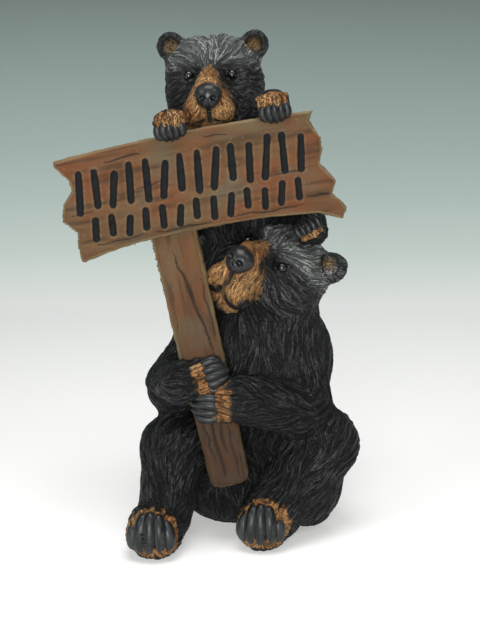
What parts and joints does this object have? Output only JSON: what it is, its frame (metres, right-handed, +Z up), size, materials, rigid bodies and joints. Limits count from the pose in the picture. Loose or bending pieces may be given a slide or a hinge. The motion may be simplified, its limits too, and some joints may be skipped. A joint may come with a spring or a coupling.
{
  "type": "resin bear figurine",
  "caption": "A seated bear cast in resin holds a leaning wooden signpost with both forepaws while a cub looks over its torn board; one solid casting that stands on its feet and seat",
  "frame": {"origin": "middle of the box around the part, on the plane that its feet and seat stand on", "axes": "+Z up, -Y towards the side that the bears face, +X to the right as seen from the front"},
  "size_m": [0.2658, 0.2168, 0.4499],
  "materials": {
    "black_fur": "black painted resin with grey dry-brushed ridges",
    "tan_fur": "tan painted resin with dark grooves",
    "painted_wood": "resin painted as weathered brown wood",
    "claw_grey": "satin dark grey paint",
    "gloss_black": "glossy black paint"
  },
  "bodies": {
    "root": {"bear_figurine": "black_fur"}
  },
  "joints": []
}
